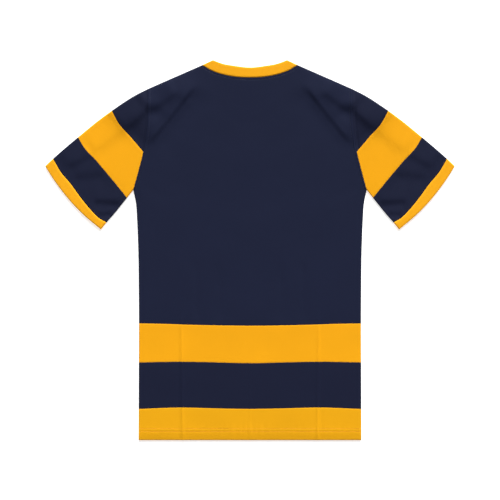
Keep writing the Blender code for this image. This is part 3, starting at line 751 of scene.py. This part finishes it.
def sleeve_piece(part, word, inner, outer, wall, laid, look, slot, sunk, side, sewn):
    """A piece of the sleeve between two lines across it: a flat ring, or where it ends in a
    tip a sheet folded over the sleeve's upper edge. Its faces follow the back's and the
    front's. sunk holds how far its inner and outer ends sink. The head also sinks in a wide
    hollow beside the armhole."""
    tip = part == "sleeve_head"
    w = np.linspace(0.0, 1.0, 601)
    length = float(np.hypot(*(read(outer, w) - read(inner, w)).T).max())
    a = steps_between(0.0, length, SLEEVE_CELL) / length
    lines = read(inner, w)[None] * (1 - a[:, None, None]) + read(outer, w)[None] * a[:, None, None]
    rise = height_on(SLEEVE_FOLD, lines[:, 0, 0]) - lines[:, 0, 1]
    lines[..., 1] += rise[:, None] * (1 - w)
    if not tip:
        fall = height_on(UNDERARM_FOLD, lines[:, -1, 0]) - lines[:, -1, 1]
        lines[..., 1] += fall[:, None] * w
    middle = laid / 2.0
    shares = np.array([across_sleeve(line, w, middle, tip) for line in lines])
    x, y = (
        np.array([np.interp(s, w, line[:, k]) for line, s in zip(lines, shares)]) for k in (0, 1)
    )
    up = np.ones(shares.shape[1])
    up[:len(ROLL)] = np.cos(ROLL)[::-1]
    if not tip:
        up[-len(ROLL):] = np.cos(ROLL)
    from_inner = np.hypot(x - x[:1], y - y[:1])
    from_outer = np.hypot(x - x[-1:], y - y[-1:])
    sink = sunk_at(from_inner, sunk[0], SLEEVE_SINK_WIDTH)
    sink = sink + sunk_at(from_outer, sunk[1], SLEEVE_SINK_WIDTH)
    if tip:
        hollow_at, hollow_depth, hollow_width = HEAD_HOLLOW
        sink = sink + sunk_at(from_inner - hollow_at, hollow_depth, hollow_width)
    if sewn:
        sink = sink + sunk_at(from_outer - CUFF_ROW, CUFF_GROOVE, ROW_GROOVE_WIDTH)
    upper = middle + (back_height(x, y, laid) - sink - middle) * up
    lower = middle + (front_height(x, y) + sink * FRONT_SHARE - middle) * up
    over, under = np.stack((x, y, upper), -1), np.stack((x, y, lower), -1)
    points = np.concatenate((over[:, ::-1], under[:, 1:]), axis=1).transpose(1, 0, 2)
    if slot == "gold_rib":
        pattern = band_pattern(points)
    else:
        along_sleeve = np.array(((0.66, 0.75), (0.75, -0.66)))
        pattern = points[..., :2] @ along_sleeve.T
    points = points * (side, 1.0, 1.0)
    cloth(
        part + word + "_cloth", points, pattern, wall, look,
        closed=not tip, up=side < 0.0,
    )


def band_pattern(points):
    """Pattern map of a band: the run along its middle, and the run across it."""
    middle = points[:, points.shape[1] // 2]
    along = np.concatenate(([0.0], np.cumsum(np.linalg.norm(np.diff(middle, axis=0), axis=-1))))
    steps = np.linalg.norm(np.diff(points, axis=1), axis=-1)
    across = np.concatenate((np.zeros((len(points), 1)), np.cumsum(steps, axis=1)), axis=1)
    return np.stack((np.broadcast_to(along[:, None], across.shape), across), axis=-1)


def sleeve_lines():
    """The lines across the right sleeve, from the armhole to the cuff."""
    armhole = dense(ARMHOLE)[::-1]
    high = between(armhole, np.array(SHOULDER), np.array(HOOP_JOIN))
    low = between(armhole, np.array(HOOP_JOIN), np.array(ARMPIT))
    start = dense(HOOP_START)
    return {
        "armhole": high, "start": start, "hoop": joined(start, low), "end": dense(HOOP_END),
        "seam": dense(CUFF_SEAM), "edge": dense(CUFF_EDGE),
    }


def sleeves(looks, sewn):
    """Head, hoop, lower piece and cuff of each sleeve."""
    lines = sleeve_lines()
    gap = SEAM_GAP / 2.0
    for side, word in ((1.0, "_right"), (-1.0, "_left")):
        for part, inner, outer, wall, laid, look, slot, sunk in (
            ("sleeve_head", "armhole", "start", KNIT, LAID, "shaded lower navy", "navy_knit", (0.0003, 0.0002)),
            ("sleeve_hoop", "hoop", "end", KNIT, LAID, "gold", "gold_knit", (0.0003, 0.0002)),
            (
                "sleeve_lower", "end", "seam", KNIT, LAID, "shaded lower navy", "navy_knit",
                (0.0002, 0.0005),
            ),
            ("cuff", "seam", "edge", RIB, RIB_LAID, "rib", "gold_rib", (0.0009, 0.0008)),
        ):
            end_gap = 0.0 if part == "cuff" else -gap
            sleeve_piece(
                part, word, moved_left(lines[inner], gap), moved_left(lines[outer], end_gap),
                wall, laid, looks[look], slot, sunk, side, sewn.get(part + word, ()),
            )


def collar(looks):
    """A ring of rib round the neck. The back of it lies on the front of it, and it folds over
    at the shoulders. It is a band between its seam and its rim, and both sink. Its seam's edge
    is tucked in under the panels."""
    middle = RIB_LAID / 2.0
    roll = (1.0 - np.sin(ROLL)) * middle
    across = steps_between(0.0, COLLAR_WIDTH, COLLAR_CELLS[0]) / COLLAR_WIDTH
    layers = []
    for neck, rim, back in ((BACK_NECK, BACK_RIM, True), (FRONT_NECK, FRONT_RIM, False)):
        seam = moved_left(dense(neck), -COLLAR_TUCK)
        length = run_of(seam)[-1]
        even = np.linspace(0.0, 1.0 - roll[0] / length, round(length / COLLAR_CELLS[1]))
        shares = np.concatenate((even[:-1], 1.0 - roll / length))
        up = np.concatenate((np.ones(len(even) - 1), np.cos(ROLL)))[:, None]
        outer, inner = read(seam, shares), read(dense(rim), shares)
        outer[0, 0] = inner[0, 0] = 0.0
        flat = outer[:, None] * (1 - across[:, None]) + inner[:, None] * across[:, None]
        x, y = flat[..., 0], flat[..., 1]
        from_seam = np.broadcast_to(across * COLLAR_WIDTH, x.shape)
        sink = sunk_at(from_seam, *COLLAR_SEAM_SINK) + sunk_at(from_seam, *COLLAR_TUCK_SINK)
        sink = sink + sunk_at(COLLAR_WIDTH - from_seam, *COLLAR_RIM_SINK)
        if back:
            z = middle + (back_height(x, y, RIB_LAID) - sink - middle) * up
        else:
            z = middle + (front_height(x, y) + sink * FRONT_SHARE - middle) * up
        layers.append(np.stack((x, y, z), axis=-1))
    half = np.concatenate((layers[0], layers[1][::-1][1:]))
    points = np.concatenate((half, half[::-1][1:] * (-1.0, 1.0, 1.0)))
    pattern = band_pattern(points)
    cloth(
        "collar_cloth", points, pattern, RIB, looks["rib"],
        closed=True,
    )


def stitch_shape():
    """One stitch along x, of half length and half width one: five rings of six corners, wide
    in the middle and narrow at the ends, joined by quads, with two quads on either end."""
    turn = np.arange(6) * math.pi / 3.0
    rings = [
        np.stack((np.full(6, at), np.cos(turn) * wide, np.sin(turn) * wide), axis=-1)
        for at, wide in ((-0.98, 0.35), (-0.55, 0.95), (0.0, 1.0), (0.55, 0.95), (0.98, 0.35))
    ]
    here, beside = np.arange(6), (np.arange(6) + 1) % 6
    quads = [
        np.stack((here + 6 * k, here + 6 * (k + 1), beside + 6 * (k + 1), beside + 6 * k), axis=-1)
        for k in range(4)
    ]
    caps = np.array(((5, 4, 1, 0), (4, 3, 2, 1), (24, 25, 28, 29), (25, 26, 27, 28)))
    return np.concatenate(rings), np.concatenate((*quads, caps))


def stitch_rows(name, rows, look, sides=(1.0, -1.0)):
    """Rows of stitches as one mesh. Each row is a line of points in space: a stitch lies along
    it at every pitch. Side 1 has them as they are, and side -1 mirrors them."""
    shape, quads = stitch_shape()
    corners = []
    for row in rows:
        run = np.concatenate(([0.0], np.cumsum(np.linalg.norm(np.diff(row, axis=0), axis=-1))))
        at = np.arange(STITCH_PITCH / 2.0, run[-1], STITCH_PITCH)
        centre, ahead = (
            np.stack([np.interp(at + step, run, row[:, k]) for k in range(3)], axis=-1)
            for step in (0.0, 0.0004)
        )
        way = ahead - centre
        way /= np.linalg.norm(way, axis=-1)[:, None]
        aside = np.cross((0.0, 0.0, 1.0), way)
        over = np.cross(way, aside)
        size = np.array((STITCH_LENGTH, THREAD, THREAD)) / 2.0
        placed = sum(
            direction[:, None, :] * (shape[:, k] * size[k])[None, :, None]
            for k, direction in enumerate((way, aside, over))
        )
        corners.append((centre[:, None, :] + placed).reshape(-1, 3))
    corners = np.concatenate(corners)
    count = len(corners) // len(shape)
    faces = (quads[None] + np.arange(count)[:, None, None] * len(shape)).reshape(-1, 4)
    placed = np.concatenate([corners * (side, 1.0, 1.0) for side in sides])
    turned = [
        (faces if side > 0.0 else faces[:, ::-1]) + k * len(corners)
        for k, side in enumerate(sides)
    ]
    piece = bpy.data.objects.new(name, mesh_of(name, placed, np.concatenate(turned)))
    bpy.context.scene.collection.objects.link(piece)
    piece.data.materials.append(look)
    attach(piece, "root")
    return piece


def on_face(line, back, groove):
    """A line of plan points in a groove of the back's or the front's outer face: a quarter of
    the thread's thickness above its floor. The front's grooves are shallower."""
    x, y = line[:, 0], line[:, 1]
    above = THREAD / 4.0
    if back:
        z = back_height(x, y) - groove + above
    else:
        z = front_height(x, y) + FRONT_SHARE * groove - above
    return np.stack((x, y, z), axis=-1)


def stitches(looks):
    """Twin rows on the hem, and one row round each armhole, below the collar and above each
    cuff, on both layers. Gives the rows on each piece of cloth by its name."""
    sewn = {}
    cuff_rows = []
    for face, back in (("back", True), ("front", False)):
        across = np.linspace(0.0, HEM_ROW_END, 300)
        hem = [
            on_face(np.stack((across, np.full_like(across, HEM_Y + row)), axis=-1), back, 0.0)
            for row in HEM_ROWS
        ]
        sewn[face + "_hoop_hem"] = [
            stitch_rows(face + "_hem_stitches", hem, looks["gold thread"])
        ]
        armhole = moved_left(dense(ARMHOLE), ARMHOLE_ROW)[ARMHOLE_ROW_ENDS]
        neck = moved_left(dense(BACK_NECK if back else FRONT_NECK), -NECK_ROW)[NECK_ROW_ENDS]
        body = [on_face(armhole, back, ARMHOLE_GROOVE), on_face(neck, back, NECK_GROOVE)]
        sewn[face + "_body"] = [
            stitch_rows(face + "_body_stitches", body, looks["navy thread"])
        ]
        lower = moved_left(dense(CUFF_SEAM), -CUFF_ROW)[CUFF_ROW_ENDS]
        cuff_rows.append(on_face(lower, back, CUFF_GROOVE))
    for word, side in (("_right", 1.0), ("_left", -1.0)):
        sewn["sleeve_lower" + word] = [stitch_rows(
            "sleeve_stitches" + word, cuff_rows, looks["navy thread"], (side,),
        )]
    return sewn


def floor_and_light(looks):
    """Plain white floor lit from below, a large low light from beyond the collar, a weak one
    from before the hem, and an even pale room."""
    corners = np.array(((-1.0, -1.0), (1.0, -1.0), (1.0, 1.0), (-1.0, 1.0))) * FLOOR_REACH
    corners = np.column_stack((corners, np.full(4, FLOOR_HEIGHT)))
    floor = bpy.data.objects.new("floor", mesh_of("floor", corners, np.array([[0, 1, 2, 3]])))
    bpy.context.scene.collection.objects.link(floor)
    floor.data.materials.append(looks["floor"])
    for name, tilt, spread_angle, strength in LAMPS:
        lamp = bpy.data.lights.new(name, "SUN")
        lamp.energy = strength
        lamp.angle = math.radians(spread_angle)
        light = bpy.data.objects.new(name, lamp)
        light.rotation_euler = (math.radians(tilt), 0.0, math.radians(LAMP_TURN))
        bpy.context.scene.collection.objects.link(light)
    world = bpy.data.worlds.new("room")
    world.use_nodes = True
    background = world.node_tree.nodes["Background"]
    background.inputs["Color"].default_value = (1.0, 1.0, 1.0, 1.0)
    background.inputs["Strength"].default_value = ROOM_STRENGTH
    bpy.context.scene.world = world
    bpy.context.scene.view_settings.view_transform = "Standard"


def camera():
    """Straight down on the jersey, with a metre of floor across the picture."""
    lens = bpy.data.cameras.new("camera")
    lens.lens = LENS
    lens.sensor_width = SENSOR
    eye = bpy.data.objects.new("camera", lens)
    eye.location = EYE
    bpy.context.scene.collection.objects.link(eye)
    bpy.context.scene.camera = eye


def make():
    """Materials, stage and every sewn piece."""
    looks = {
        "navy": interlock_knit("navy polyester interlock knit", NAVY),
        # the sleeves and the middle hoop take a darker copy of the navy: painted shade
        "shaded lower navy": interlock_knit("navy polyester interlock knit of sleeves and hoop", NAVY_SHADED),
        "gold": interlock_knit("gold polyester interlock knit", GOLD),
        # the hem hoop takes a darker copy of the gold: painted shade
        "shaded lower gold": interlock_knit("gold polyester interlock knit of the hem with painted shade", GOLD_SHADED),
        "rib": rib_knit("gold polyester rib knit", GOLD_RIB),
        "navy thread": thread("navy spun polyester thread", NAVY_THREAD),
        "gold thread": thread("gold spun polyester thread", GOLD_THREAD),
        "floor": light_table("opal acrylic lit from below", FLOOR),
    }
    camera()
    floor_and_light(looks)
    sewn = stitches(looks)
    bodies(looks)
    sleeves(looks, sewn)
    collar(looks)


make()
